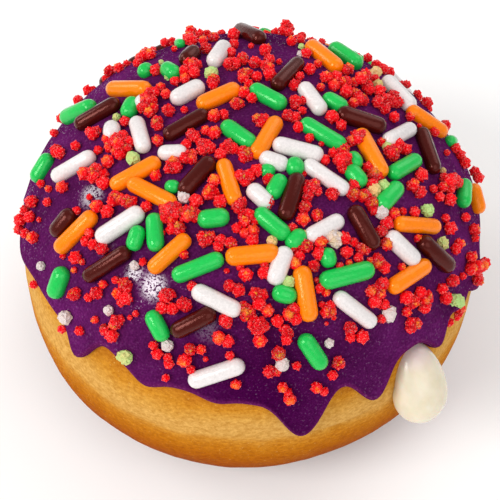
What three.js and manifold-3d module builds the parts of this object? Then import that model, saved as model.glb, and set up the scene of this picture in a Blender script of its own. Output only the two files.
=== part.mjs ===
import * as THREE from 'three';
import { mergeVertices } from 'three/addons/utils/BufferGeometryUtils.js';
import Module from 'manifold-3d';

// A small round filled doughnut: fried dough, icing with drips and toppings, and a drop of cream.
// Sizes are in mm and angles in degrees. +Z is up, azimuth 0 is +X and azimuth -90 is the front.
// The origin is the middle of the flat foot.

const dough = {
  radius: 22.05, // of the widest ring
  rise: 17.9, // from the widest ring up to the crown
  fall: 14.0, // from the widest ring down to where the foot would close
  risePower: 2.25, // fullness of the upper half: 2 is an ellipse, more is boxier
  fallPower: 2.55,
  footCut: 0.93, // share of the fall that stands above the flat foot
  steps: 36, // facets round the axis
  rows: 18, // facets from crown to foot
  // The ring isn't a true circle: amount, number of bulges and where they start, in radians.
  bulges: [[0.005, 2, 0.5], [0.003, 3, 2]],
};

const icing = {
  gap: 0.34, // clearance between the dough and the icing's inner face
  thickness: 0.44,
  lip: 1.0, // length of the rounded lip along the edge
  level: 19.8, // height of the edge between the drips
  steps: 80,
  outerRows: 8,
  innerRows: 10,
  crowding: 1.6, // more than 1 draws the outer rows towards the edge
};

// Where the edge runs down in a drip, or up in a notch: azimuth, depth, half width in degrees.
const drips = [
  [-169, 1.7, 9], [-134.4, 2.4, 3.7], [-128, -1.0, 6.9], [-115, 0.8, 4], [-97.5, 0.8, 4.9],
  [-89.3, 0.6, 4.6], [-77.9, 5.3, 6.2], [-59.4, 3.6, 4.9], [-38.6, 2.5, 3.8], [-26.9, 1.3, 4.8],
  [-16.4, 3.3, 4.1], [-5, 1.3, 45], [11, 2.0, 5], [44, 3.9, 6.2], [61, 1.3, 5.6],
  [79, 2.9, 5.5], [97, -0.7, 6.5], [112, 3.8, 5.8], [131, 1.1, 6.5], [149, 2.7, 5.4], [171, 3.0, 6],
];

const cream = {
  mouthAzimuth: -45.8, // where it leaves the side of the dough, under the icing's edge
  mouthRadius: 21.0, // from the axis
  mouthHeight: 18.9,
  endAzimuth: -49.4, // where the drop ends below
  endRadius: 23.5,
  endHeight: 11.9,
  bow: 0.95, // how far the drop swings out on its way down
  width: 5.0,
  widest: 0.6, // share of the drop's length above its widest ring
  taper: 0.4, // how fast it narrows towards the mouth
  neck: 1.25, // radius of the channel through the dough
  neckReach: 21.4, // where the channel's round end has its middle
  neckHeight: 16.0,
  pocketRadius: 7.5, // of the pocket in the middle
  pocketHeight: 8.0,
  clearance: 0.3,
  facets: 14,
  neckSides: 8,
  capRows: 2,
  pocketFacets: 12,
};

// The toppings are placed as they are seen from an eye raised over the front, on a square
// of 50 x 50 mm through the middle of the dough: across and down from its upper left corner.
const eye = {
  raised: 53,
  distance: 144.3,
  acrossMiddle: 24.96,
  downMiddle: 25.15,
  nearer: 1.06, // what lies on the icing looks this much larger than on the square
  beyondRim: -0.27, // cosine between skin and eye from which a topping counts as out of sight
};

// How toppings are thrown on where the eye doesn't see them.
const thrown = {
  tries: 4000,
  lowest: 0.3, // sine of the lowest slope that is tried
  edgeMargin: 3, // degrees of slope that stay free above the icing's edge
};

const sprinkle = {
  radius: 0.8,
  spread: 0.08, // how much the radii differ either way
  sunk: 0.45, // share of the radius that lies below the icing
  longest: 5.3,
  sides: 6,
  capRows: 1,
  unseen: 13, // most that lie out of the eye's sight, and what keeps them apart
  spacing: 3.4,
  halfLengths: [1.0, 1.7],
  tilt: 60, // how far those may turn from level
};

// Both ends of each sprinkle: across, down, across, down, and for a thin one its share of the
// usual radius. One list for each colour.
const sprinkles = {
  white: [
    [13.5, 11.6, 14.5, 15.3], [11.2, 12.0, 11.2, 14.2], [5.2, 17.9, 9.5, 15.4],
    [17.1, 10.1, 20.4, 8.4], [21.0, 6.7, 22.8, 4.1], [30.1, 8.3, 32.4, 11.4],
    [27.3, 14.3, 32.3, 15.6], [26.0, 15.6, 28.8, 16.6], [30.4, 16.2, 34.8, 19.2],
    [38.3, 7.7, 41.4, 11.0], [38.3, 14.3, 41.6, 12.6], [30.6, 23.8, 34.3, 21.8],
    [24.9, 18.6, 27.1, 20.6], [38.7, 23.3, 41.8, 26.3], [33.5, 29.4, 37.5, 32.5],
    [27.3, 28.4, 28.7, 24.7], [19.3, 28.9, 24.0, 31.2], [18.9, 38.2, 24.4, 36.4],
    [9.7, 24.0, 14.3, 21.0], [15.8, 15.3, 18.7, 15.2], [27.7, 13.1, 29.5, 13.4],
    [13.7, 10.9, 14.8, 9.6],
  ],
  green: [
    [6.0, 12.0, 9.7, 10.4], [12.5, 11.8, 13.6, 9.7], [3.4, 18.2, 5.1, 15.4],
    [16.1, 6.5, 18.0, 7.7], [32.9, 4.5, 36.2, 6.7], [25.0, 8.7, 28.6, 10.6],
    [22.2, 12.3, 25.5, 14.6], [30.1, 12.1, 34.5, 14.7], [38.8, 17.6, 42.1, 15.7],
    [37.8, 20.9, 40.1, 18.3], [46.5, 17.8, 46.3, 20.8], [25.6, 21.0, 28.8, 23.7],
    [32.0, 28.2, 37.4, 26.8], [17.3, 27.7, 22.3, 25.7], [5.3, 29.8, 6.4, 26.7],
    [15.0, 31.1, 16.5, 34.0], [30.2, 33.5, 32.4, 36.8], [15.4, 21.3, 15.6, 25.1],
    [19.8, 22.0, 22.9, 21.6], [27.3, 29.1, 29.6, 29.7], [28.3, 17.5, 27.0, 19.8],
    [34.8, 16.6, 36.4, 18.6], [13.2, 25.0, 14.0, 22.6], [28.8, 24.7, 30.4, 23.1],
    [32.6, 24.8, 33.0, 26.7], [13.9, 7.6, 15.2, 6.5], [29.4, 15.7, 29.6, 17.6],
    [35.0, 15.2, 35.8, 16.9], [32.3, 9.6, 34.7, 10.9], [17.4, 4.2, 18.6, 4.5, 0.6],
    [26.0, 17.0, 27.5, 17.1, 0.85], [44.4, 14.0, 45.8, 14.2, 0.75], [16.5, 18.6, 18.0, 18.7, 0.85],
  ],
  orange: [
    [10.2, 8.9, 15.6, 8.9], [11.1, 18.7, 16.0, 16.0], [12.8, 18.1, 17.6, 20.5],
    [19.7, 10.6, 24.0, 8.7], [30.6, 4.2, 34.2, 7.1], [25.4, 15.8, 27.9, 11.7],
    [35.8, 12.9, 38.4, 17.7], [40.7, 10.8, 44.7, 13.5], [47.2, 18.3, 48.0, 21.4],
    [39.3, 22.3, 44.1, 22.7], [38.8, 29.0, 43.0, 26.2], [30.1, 26.6, 31.0, 32.1],
    [22.6, 25.7, 27.9, 25.2], [15.0, 27.1, 18.9, 23.6], [5.6, 25.2, 9.6, 21.2],
    [22.2, 15.9, 23.6, 20.5],
  ],
  brown: [
    [7.5, 12.7, 12.0, 10.1], [16.4, 13.7, 20.8, 11.2], [18.1, 19.4, 21.3, 15.8],
    [18.1, 6.5, 19.9, 4.7], [23.1, 2.6, 26.9, 4.3], [27.2, 9.0, 30.3, 5.8],
    [29.9, 17.3, 28.4, 22.0], [33.7, 11.2, 38.6, 12.8], [42.0, 12.7, 43.6, 17.4],
    [35.2, 20.6, 37.6, 24.9], [41.9, 23.8, 45.3, 27.0], [8.4, 27.9, 13.0, 24.9],
    [17.2, 33.3, 21.5, 31.1], [5.3, 23.6, 7.4, 21.0],
  ],
};

const crumb = {
  nub: 0.72, // radius of one small ball
  spread: 0.2,
  sunk: 0.35,
  nubEvery: 0.8, // each further nub adds this much to the size of its lump
  unseen: 8,
  spacing: 2.6,
  sizes: [1.5, 2.8],
};

// Lumps of crumbs: across, down, size.
const lumps = [
  [12.1, 14.5, 3.5], [15.1, 10.7, 2.2], [16.5, 11.6, 2.4], [9.5, 13.4, 1.8], [9.5, 17.8, 2.2],
  [18.0, 21.3, 3.4], [19.2, 3.9, 1.8], [25.3, 6.9, 3.4], [28.5, 3.3, 2.0], [20.2, 14.7, 2.5],
  [35.2, 8.8, 3.2], [38.8, 10.3, 2.6], [34.2, 14.6, 3.2], [44.2, 18.7, 2.8], [3.2, 21.5, 2.6],
  [47.3, 26.6, 2.6], [42.0, 30.0, 2.6], [26.0, 32.5, 2.8], [17.5, 30.0, 2.4], [12.4, 29.0, 2.0],
  [30.3, 25.6, 2.6], [35.1, 24.4, 2.2], [23.5, 15.2, 2.0], [25.8, 29.4, 2.2], [37.5, 29.1, 2.2],
  [40.8, 32.8, 1.9], [18.8, 35.0, 1.9], [28.6, 39.0, 1.7], [11.3, 32.6, 1.8], [6.0, 15.3, 1.7],
  [24.4, 16.4, 2.4], [17.5, 16.8, 1.7], [31.0, 19.0, 1.7], [20.8, 23.8, 1.7], [39.1, 15.5, 2.3],
  [19.3, 7.0, 2.3],
];

const wasm = await Module();
wasm.setup();

const waist = dough.fall * dough.footCut; // height of the widest ring
const skin = icing.gap + icing.thickness; // from the dough out to the top of the icing
const radians = THREE.MathUtils.degToRad;
const footSlope = -Math.asin(dough.footCut ** (dough.fallPower / 2));

let seed = 5;
function draw(low, high) {
  seed = (seed * 1664525 + 1013904223) % 4294967296;
  return low + (high - low) * (seed / 4294967296);
}

// How far the ring departs from a true circle, as a factor on its radius.
function sway(azimuth) {
  return dough.bulges.reduce(
    (factor, [amount, count, start]) => factor + amount * Math.sin(count * azimuth + start),
    1,
  );
}

// A point of the dough's skin grown by a margin. The slope runs from -90 degrees at the
// foot through 0 at the widest ring to 90 degrees at the crown.
function skinPoint(azimuth, slope, grow) {
  const [reach, power] = slope < 0
    ? [dough.fall, 2 / dough.fallPower]
    : [dough.rise, 2 / dough.risePower];
  const radius = (dough.radius + grow) * Math.abs(Math.cos(slope)) ** power * sway(azimuth);
  const up = (reach + grow) * Math.sign(slope) * Math.abs(Math.sin(slope)) ** power;
  return new THREE.Vector3(radius * Math.cos(azimuth), radius * Math.sin(azimuth), waist + up);
}

// Below zero inside the grown dough, zero on its skin, above zero outside.
function depth(point, grow) {
  const up = point.z - waist;
  const [reach, power] = up < 0
    ? [dough.fall, dough.fallPower]
    : [dough.rise, dough.risePower];
  const radius = (dough.radius + grow) * sway(Math.atan2(point.y, point.x));
  const across = Math.hypot(point.x, point.y) / radius;
  return across ** power + (Math.abs(up) / (reach + grow)) ** power - 1;
}

function outward(point) {
  const step = 0.01;
  const change = (x, y, z) => depth(point.clone().add(new THREE.Vector3(x, y, z)), 0);
  return new THREE.Vector3(
    change(step, 0, 0) - change(-step, 0, 0),
    change(0, step, 0) - change(0, -step, 0),
    change(0, 0, step) - change(0, 0, -step),
  ).normalize();
}

const searchSteps = 50;
const [level, upright] = [Math.cos(radians(eye.raised)), Math.sin(radians(eye.raised))];
const middle = new THREE.Vector3(0, 0, waist);
const towardsEye = new THREE.Vector3(0, -level, upright);
const eyeUp = new THREE.Vector3(0, upright, level);
const eyePoint = middle.clone().addScaledVector(towardsEye, eye.distance);

// The first point of the grown skin on the line from the eye. Where the line passes by the
// skin, it is the point of the line that comes closest.
function seenPoint(across, down, grow) {
  const direction = middle.clone()
    .add(new THREE.Vector3(across - eye.acrossMiddle, 0, 0))
    .addScaledVector(eyeUp, eye.downMiddle - down)
    .sub(eyePoint)
    .normalize();
  const at = (reach) => eyePoint.clone().addScaledVector(direction, reach);
  const start = eye.distance - 2 * dough.radius;
  let [low, high] = [start, eye.distance + 2 * dough.radius];
  for (let i = 0; i < searchSteps; i += 1) {
    const third = (high - low) / 3;
    if (depth(at(low + third), grow) < depth(at(high - third), grow)) high -= third;
    else low += third;
  }
  const deepest = low;
  if (depth(at(deepest), grow) > 0) return at(deepest);
  [low, high] = [start, deepest];
  for (let i = 0; i < searchSteps; i += 1) {
    const half = (low + high) / 2;
    if (depth(at(half), grow) > 0) low = half;
    else high = half;
  }
  return at(high);
}

function edgeHeight(azimuth) {
  let height = icing.level;
  for (const [place, down, halfWidth] of drips) {
    const turned = THREE.MathUtils.radToDeg(azimuth) - place;
    const away = THREE.MathUtils.euclideanModulo(turned + 180, 360) - 180;
    height -= down * Math.exp(-((away / halfWidth) ** 2));
  }
  return height;
}

function edgeSlope(azimuth) {
  return Math.asin(((edgeHeight(azimuth) - waist) / dough.rise) ** (dough.risePower / 2));
}

// A closed surface: every vertex of a sphere goes to pointAt(azimuth, height), height 1 to 0.
function closedSurface(steps, rows, pointAt) {
  const geometry = new THREE.SphereGeometry(1, steps, rows);
  const { position, uv } = geometry.attributes;
  for (let i = 0; i < position.count; i += 1) {
    const point = pointAt(2 * Math.PI * (uv.getX(i) % 1), 1 - Math.floor(i / (steps + 1)) / rows);
    position.setXYZ(i, point.x, point.y, point.z);
  }
  return geometry;
}

function toSolid(geometry) {
  geometry.deleteAttribute('normal');
  geometry.deleteAttribute('uv');
  const merged = mergeVertices(geometry, 1e-4);
  return new wasm.Manifold(new wasm.Mesh({
    numProp: 3,
    vertProperties: merged.attributes.position.array,
    triVerts: new Uint32Array(merged.index.array),
  }));
}

function toMesh(name, solid, finish) {
  const { vertProperties, triVerts } = solid.getMesh();
  const geometry = new THREE.BufferGeometry();
  geometry.setAttribute('position', new THREE.BufferAttribute(vertProperties, 3));
  geometry.setIndex(new THREE.BufferAttribute(triVerts, 1));
  geometry.computeVertexNormals();
  const mesh = new THREE.Mesh(geometry, new THREE.MeshStandardMaterial(finish));
  mesh.name = name;
  return mesh;
}

// The dough: its skin from the crown down to the edge of the foot, and the flat foot itself.
function doughSolid(grow) {
  const lastRow = 1 / dough.rows;
  return toSolid(closedSurface(dough.steps, dough.rows, (azimuth, height) => {
    if (height === 0) return new THREE.Vector3(0, 0, -grow);
    const share = (height - lastRow) / (1 - lastRow);
    const point = skinPoint(azimuth, THREE.MathUtils.lerp(footSlope, Math.PI / 2, share), grow);
    point.z = Math.max(point.z, -grow);
    return point;
  }));
}

// The icing: out over the crown, round the lip at its edge, and back along the dough.
function icingShell() {
  const turn = icing.innerRows / (icing.innerRows + icing.outerRows);
  return toSolid(closedSurface(icing.steps, icing.innerRows + icing.outerRows, (azimuth, height) => {
    const edge = edgeSlope(azimuth);
    if (height < turn) {
      const slope = THREE.MathUtils.lerp(Math.PI / 2, edge, height / turn);
      return skinPoint(azimuth, slope, icing.gap);
    }
    const share = 1 - ((height - turn) / (1 - turn)) ** icing.crowding;
    const slope = THREE.MathUtils.lerp(Math.PI / 2, edge, share);
    const fromEdge = (slope - edge) * dough.radius;
    const lip = Math.sqrt(1 - (1 - Math.min(fromEdge / icing.lip, 1)) ** 2);
    return skinPoint(azimuth, slope, icing.gap + icing.thickness * lip);
  }));
}

function onSide(azimuth, radius, height) {
  return new THREE.Vector3(
    radius * Math.cos(radians(azimuth)),
    radius * Math.sin(radians(azimuth)),
    height,
  );
}

// The drop that hangs down the side: level rings whose radius swells and closes again.
function creamDrop(grow) {
  const mouth = onSide(cream.mouthAzimuth, cream.mouthRadius, cream.mouthHeight + grow);
  const end = onSide(cream.endAzimuth, cream.endRadius, cream.endHeight - grow);
  return toSolid(closedSurface(cream.facets, cream.facets, (azimuth, height) => {
    const share = 1 - height;
    const swell = share < cream.widest
      ? Math.sin((Math.PI / 2) * (share / cream.widest)) ** cream.taper
      : Math.sqrt(Math.max(0, 1 - ((share - cream.widest) / (1 - cream.widest)) ** 2));
    const radius = (cream.width / 2 + grow) * swell;
    const centre = mouth.clone().lerp(end, share);
    const bow = cream.bow * Math.sin(Math.PI * share);
    return centre.add(onSide(cream.mouthAzimuth, bow, 0))
      .add(new THREE.Vector3(radius * Math.cos(azimuth), radius * Math.sin(azimuth), 0));
  }));
}

// The channel from the pocket out to the mouth, and the pocket in the middle.
function creamInside(grow) {
  const inner = new THREE.Vector3(0, 0, waist);
  const outer = onSide(cream.mouthAzimuth, cream.neckReach, cream.neckHeight);
  const channel = capsuleBetween(inner, outer, cream.neck + grow, cream.capRows, cream.neckSides);
  const pocket = new THREE.SphereGeometry(1, cream.pocketFacets, cream.pocketFacets / 2);
  pocket.rotateX(Math.PI / 2);
  pocket.scale(
    cream.pocketRadius + grow,
    cream.pocketRadius + grow,
    cream.pocketHeight / 2 + grow,
  );
  pocket.translate(0, 0, waist);
  return channel.add(toSolid(pocket));
}

function capsuleBetween(start, end, radius, capRows, sides) {
  const axis = end.clone().sub(start);
  const geometry = new THREE.CapsuleGeometry(radius, axis.length(), capRows, sides);
  const up = new THREE.Vector3(0, 1, 0);
  geometry.applyQuaternion(new THREE.Quaternion().setFromUnitVectors(up, axis.normalize()));
  const centre = start.clone().add(end).multiplyScalar(0.5);
  geometry.translate(centre.x, centre.y, centre.z);
  return toSolid(geometry);
}

// A sprinkle seen between two points: its round ends lie inside them.
function seenSprinkle([acrossA, downA, acrossB, downB, thickness = 1]) {
  const usual = sprinkle.radius * thickness;
  const radius = usual * draw(1 - sprinkle.spread, 1 + sprinkle.spread);
  const grow = skin + radius * (1 - sprinkle.sunk);
  const length = Math.hypot(acrossB - acrossA, downB - downA);
  const inset = Math.min(0.5, (eye.nearer * radius) / length);
  const at = (share) => seenPoint(
    THREE.MathUtils.lerp(acrossA, acrossB, share),
    THREE.MathUtils.lerp(downA, downB, share),
    grow,
  );
  return layDown(at(inset), at(1 - inset), radius);
}

function layDown(start, end, radius) {
  const centre = start.clone().add(end).multiplyScalar(0.5);
  const half = end.clone().sub(start).multiplyScalar(0.5);
  const longestHalf = sprinkle.longest / 2 - radius;
  half.setLength(Math.min(half.length(), longestHalf));
  return { centre, half, radius };
}

// Whether the icing at a point is out of the eye's sight.
function unseen(point) {
  return outward(point).dot(eyePoint.clone().sub(point).normalize()) < eye.beyondRim;
}

// Points on the part of the icing that the eye doesn't see, each clear of those already there.
function unseenPlaces(count, spacing, grow, taken) {
  const places = [];
  for (let i = 0; i < thrown.tries && places.length < count; i += 1) {
    const azimuth = draw(-Math.PI, Math.PI);
    const slope = Math.asin(draw(thrown.lowest, 1));
    const point = skinPoint(azimuth, slope, grow);
    const clearOfEdge = slope > edgeSlope(azimuth) + radians(thrown.edgeMargin);
    const apart = [...taken, ...places].every((other) => other.distanceTo(point) > spacing);
    if (clearOfEdge && apart && unseen(point)) places.push(point);
  }
  return places;
}

// A direction along the skin, no further than a given angle from level.
function tangent(point, tilt) {
  const turn = radians(draw(-tilt, tilt));
  const normal = outward(point);
  const sideways = new THREE.Vector3(-normal.y, normal.x, 0).normalize();
  return sideways.applyAxisAngle(normal, turn);
}

function allSprinkles() {
  const seen = Object.values(sprinkles).flat().map(seenSprinkle);
  const grow = skin + sprinkle.radius * (1 - sprinkle.sunk);
  const places = unseenPlaces(sprinkle.unseen, sprinkle.spacing, grow, seen.map((s) => s.centre));
  const others = places.map((place) => {
    const half = tangent(place, sprinkle.tilt).multiplyScalar(draw(...sprinkle.halfLengths));
    return layDown(place.clone().sub(half), place.clone().add(half), sprinkle.radius);
  });
  return [...seen, ...others];
}

// The nubs of one lump: the first in the middle, the others round it.
function nubsOf(place, size) {
  const count = 1 + Math.floor((size - 2 * crumb.nub) / crumb.nubEvery);
  const nubs = [];
  const start = tangent(place, 180);
  for (let i = 0; i < count; i += 1) {
    const away = i === 0 ? 0 : 0.5 * size - crumb.nub;
    const round = (2 * Math.PI * i) / Math.max(1, count - 1);
    const centre = place.clone()
      .addScaledVector(start.clone().applyAxisAngle(outward(place), round), away);
    nubs.push({ centre, radius: crumb.nub * draw(1 - crumb.spread, 1 + crumb.spread) });
  }
  return nubs;
}

function allNubs(sprinkleCentres) {
  const grow = skin + crumb.nub * (1 - crumb.sunk);
  const seen = lumps.map(([across, down, size]) => nubsOf(seenPoint(across, down, grow), size));
  const places = unseenPlaces(crumb.unseen, crumb.spacing, grow, sprinkleCentres);
  const others = places.map((place) => nubsOf(place, draw(...crumb.sizes)));
  return [...seen, ...others].flat();
}

const layout = allSprinkles();
const nubs = allNubs(layout.map((s) => s.centre));

const toppings = [
  ...layout.map(({ centre, half, radius }) => capsuleBetween(
    centre.clone().sub(half),
    centre.clone().add(half),
    radius,
    sprinkle.capRows,
    sprinkle.sides,
  )),
  ...nubs.map(({ centre, radius }) => {
    const ball = new THREE.IcosahedronGeometry(radius, 0);
    ball.rotateX(centre.x); // so that no two lie alike
    ball.translate(centre.x, centre.y, centre.z);
    return toSolid(ball);
  }),
];

const inside = creamInside(0);
const drop = creamDrop(0).subtract(doughSolid(cream.clearance));
const fillingSolid = drop.add(inside);
const doughWithPocket = doughSolid(0).subtract(creamInside(cream.clearance));

const keepClear = doughSolid(icing.gap / 2).add(creamDrop(cream.clearance));
const fitted = wasm.Manifold.union(toppings).subtract(keepClear);
const topped = icingShell().subtract(creamDrop(cream.clearance)).add(fitted);
// Scraps that lay past the icing's edge fall away.
const largest = topped.decompose().sort((a, b) => b.volume() - a.volume())[0];

const part = new THREE.Group();
part.add(
  toMesh('dough', doughWithPocket, { color: 0xd8933f, roughness: 0.6, metalness: 0 }),
  toMesh('filling', fillingSolid, { color: 0xf0e3c4, roughness: 0.3, metalness: 0 }),
  toMesh('icing', largest, { color: 0x4d1650, roughness: 0.3, metalness: 0 }),
);

export default part;
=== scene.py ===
import math
import bpy
import numpy as np
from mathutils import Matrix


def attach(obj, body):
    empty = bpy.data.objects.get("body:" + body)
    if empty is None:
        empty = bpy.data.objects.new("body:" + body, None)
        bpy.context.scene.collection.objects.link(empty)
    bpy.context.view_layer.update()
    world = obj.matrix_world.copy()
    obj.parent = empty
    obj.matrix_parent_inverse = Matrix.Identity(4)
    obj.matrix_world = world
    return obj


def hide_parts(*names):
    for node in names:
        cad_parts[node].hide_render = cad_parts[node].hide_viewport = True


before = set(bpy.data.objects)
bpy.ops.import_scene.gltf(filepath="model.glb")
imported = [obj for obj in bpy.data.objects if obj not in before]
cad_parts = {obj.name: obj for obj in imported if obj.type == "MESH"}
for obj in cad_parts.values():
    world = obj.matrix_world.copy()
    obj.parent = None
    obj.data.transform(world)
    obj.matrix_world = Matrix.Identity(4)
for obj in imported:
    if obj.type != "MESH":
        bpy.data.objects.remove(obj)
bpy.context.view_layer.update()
print("frame loaded, CAD nodes:", sorted(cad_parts))

mm = 0.001  # everything below is worked out in mm and goes into the meshes in metres
poleGap = 0.01  # radians round the crown that a fan of faces closes

# the dough's own shape, the same numbers as the solid has
body = {
    "radius": 22.05, "rise": 17.9, "fall": 14.0,
    "risePower": 2.25, "fallPower": 2.55, "footCut": 0.93,
    "bulges": ((0.005, 2, 0.5), (0.003, 3, 2.0)),
}
waist = body["fall"] * body["footCut"]
footSlope = -math.asin(body["footCut"] ** (body["fallPower"] / 2))

# the eye that laid out the toppings, and a 50 mm square through the middle of the dough
eye = {
    "raised": 53.0, "distance": 144.3, "acrossMiddle": 24.96, "downMiddle": 25.15,
    "square": 50.0, "sensor": 36.0, "nearer": 1.06, "beyondRim": -0.27, "halvings": 50,
}
level, upright = math.cos(math.radians(eye["raised"])), math.sin(math.radians(eye["raised"]))
middle = np.array([0.0, 0.0, waist])
eyeUp = np.array([0.0, upright, level])
eyeAway = np.array([0.0, -level, upright])
eyePoint = middle + eye["distance"] * eyeAway


def addCamera():
    # looks along the line from the eye, a little aside so that the square fills the picture
    data = bpy.data.cameras.new("camera")
    data.sensor_width = eye["sensor"]
    data.lens = eye["sensor"] * eye["distance"] / eye["square"]
    data.clip_start = 0.01
    half = eye["square"] / 2
    aside = np.array([half - eye["acrossMiddle"], 0, 0]) + (eye["downMiddle"] - half) * eyeUp
    camera = bpy.data.objects.new("camera", data)
    camera.location = (eyePoint + aside) * mm
    camera.rotation_euler = (math.radians(90 - eye["raised"]), 0, 0)
    bpy.context.scene.collection.objects.link(camera)
    bpy.context.scene.camera = camera


studio = {
    "floorSize": 6.0, "floorColor": (0.98, 0.98, 0.98), "floorRoughness": 0.9,
    "worldColor": (1.0, 1.0, 1.0), "worldStrength": 0.55,
    # place in metres, size, power, colour
    "lamps": {
        "key": ((-0.57, -0.40, 0.58), 0.44, 4.1, (1.0, 0.99, 0.97)),
        "side": ((-0.74, 0.30, 0.41), 0.40, 1.5, (1.0, 0.99, 0.97)),
        "fill": ((0.30, -0.60, 0.62), 0.90, 2.5, (1.0, 1.0, 1.0)),
        "back": ((0.45, 0.50, 0.58), 0.70, 1.8, (1.0, 1.0, 1.0)),
    },
}


def addStudio():
    edge = studio["floorSize"] / 2
    corners = [(-edge, -edge, 0), (edge, -edge, 0), (edge, edge, 0), (-edge, edge, 0)]
    mesh = bpy.data.meshes.new("floor")
    mesh.from_pydata(corners, [], [(0, 1, 2, 3)])
    floor = bpy.data.objects.new("floor", mesh)
    bpy.context.scene.collection.objects.link(floor)
    material = bpy.data.materials.new("paleFloor")
    material.use_nodes = True
    shader = material.node_tree.nodes["Principled BSDF"]
    shader.inputs["Base Color"].default_value = (*studio["floorColor"], 1)
    shader.inputs["Roughness"].default_value = studio["floorRoughness"]
    mesh.materials.append(material)
    for name, (place, size, power, color) in studio["lamps"].items():
        lamp = bpy.data.lights.new(name, "AREA")
        lamp.shape, lamp.size, lamp.energy, lamp.color = "DISK", size, power, color
        holder = bpy.data.objects.new(name, lamp)
        holder.location = place
        aim = np.array([0, 0, waist * mm]) - np.array(place)
        across = math.hypot(aim[0], aim[1])
        turn = math.atan2(aim[1], aim[0]) - math.pi / 2
        holder.rotation_euler = (math.atan2(across, -aim[2]), 0, turn)
        bpy.context.scene.collection.objects.link(holder)
    world = bpy.data.worlds.new("studio")
    world.use_nodes = True
    background = world.node_tree.nodes["Background"]
    background.inputs["Color"].default_value = (*studio["worldColor"], 1)
    background.inputs["Strength"].default_value = studio["worldStrength"]
    bpy.context.scene.world = world
    bpy.context.scene.view_settings.view_transform = "Standard"


def sway(azimuth):
    # factor on the ring's radius: 1 plus a few sine waves round the axis
    return 1 + sum(amount * np.sin(count * azimuth + start) for amount, count, start in body["bulges"])


def skinPoints(azimuth, slope, grow):
    # superellipse turned round the axis: radius = ring * cos(slope) ^ p, height = reach * sin(slope) ^ p
    azimuth, slope, grow = np.broadcast_arrays(azimuth, slope, grow)
    upper = slope >= 0
    power = np.where(upper, 2 / body["risePower"], 2 / body["fallPower"])
    reach = np.where(upper, body["rise"], body["fall"]) + grow
    radius = (body["radius"] + grow) * np.abs(np.cos(slope)) ** power * sway(azimuth)
    height = waist + reach * np.sign(slope) * np.abs(np.sin(slope)) ** power
    return np.stack([radius * np.cos(azimuth), radius * np.sin(azimuth), height], axis=-1)


def depthOf(points, grow):
    # (radius / ring) ^ p + (height / reach) ^ p - 1: zero on the grown skin, below zero inside
    up = points[..., 2] - waist
    power = np.where(up < 0, body["fallPower"], body["risePower"])
    reach = np.where(up < 0, body["fall"], body["rise"]) + grow
    ring = (body["radius"] + grow) * sway(np.arctan2(points[..., 1], points[..., 0]))
    across = np.hypot(points[..., 0], points[..., 1]) / ring
    return across ** power + (np.abs(up) / reach) ** power - 1


def unit(vectors):
    # each vector divided by its own length
    return vectors / np.linalg.norm(vectors, axis=-1, keepdims=True)


def outward(points):
    # direction in which the depth grows fastest, from small steps along the three axes
    step = 0.01
    slopes = [depthOf(points + step * axis, 0) - depthOf(points - step * axis, 0) for axis in np.eye(3)]
    return unit(np.stack(slopes, axis=-1))


def seenPoints(across, down, grow):
    # first point of the grown skin on each line from the eye; past the rim, the closest point
    across, down, grow = (np.asarray(v, float) for v in (across, down, grow))
    target = middle + (across - eye["acrossMiddle"])[..., None] * np.array([1.0, 0, 0])
    target = target + (eye["downMiddle"] - down)[..., None] * eyeUp
    ray = unit(target - eyePoint)
    start = np.full(across.shape, eye["distance"] - 2 * body["radius"])
    low, high = start.copy(), start + 4 * body["radius"]
    for _ in range(eye["halvings"]):
        third = (high - low) / 3
        nearer = depthOf(eyePoint + (low + third)[..., None] * ray, grow)
        farther = depthOf(eyePoint + (high - third)[..., None] * ray, grow)
        high = np.where(nearer < farther, high - third, high)
        low = np.where(nearer < farther, low, low + third)
    deepest = low.copy()
    misses = depthOf(eyePoint + deepest[..., None] * ray, grow) > 0
    low, high = start, deepest.copy()
    for _ in range(eye["halvings"]):
        half = (low + high) / 2
        outside = depthOf(eyePoint + half[..., None] * ray, grow) > 0
        low = np.where(outside, half, low)
        high = np.where(outside, high, half)
    reach = np.where(misses, deepest, high)
    return eyePoint + reach[..., None] * ray


def smoothNoise(points, cell, seed):
    # random values at the corners of a lattice of cells, blended by 3t^2 - 2t^3 between corners
    table = np.random.default_rng(seed).uniform(-1, 1, 4096)
    scaled = points / cell
    base = np.floor(scaled).astype(int)
    part = scaled - base
    ease = part * part * (3 - 2 * part)
    total = np.zeros(points.shape[:-1])
    for corner in np.ndindex(2, 2, 2):
        spot = base + np.array(corner)
        index = (spot[..., 0] * 73 + spot[..., 1] * 179 + spot[..., 2] * 283) % 4096
        total += table[index] * np.prod(np.where(corner, ease, 1 - ease), axis=-1)
    return total


def unevenness(points, lumps, seed):
    # sum of size * smooth noise, one for each cell and size
    return sum(size * smoothNoise(points, cell, seed + n) for n, (cell, size) in enumerate(lumps))


def addPiece(name, points, faces, material, smooth=True):
    mesh = bpy.data.meshes.new(name)
    mesh.from_pydata((points * mm).tolist(), [], [row.tolist() for group in faces for row in group])
    if smooth:
        mesh.shade_smooth()
    mesh.materials.append(material)
    piece = bpy.data.objects.new(name, mesh)
    bpy.context.scene.collection.objects.link(piece)
    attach(piece, "root")
    print(name, len(mesh.polygons), "faces")
    return piece


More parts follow.
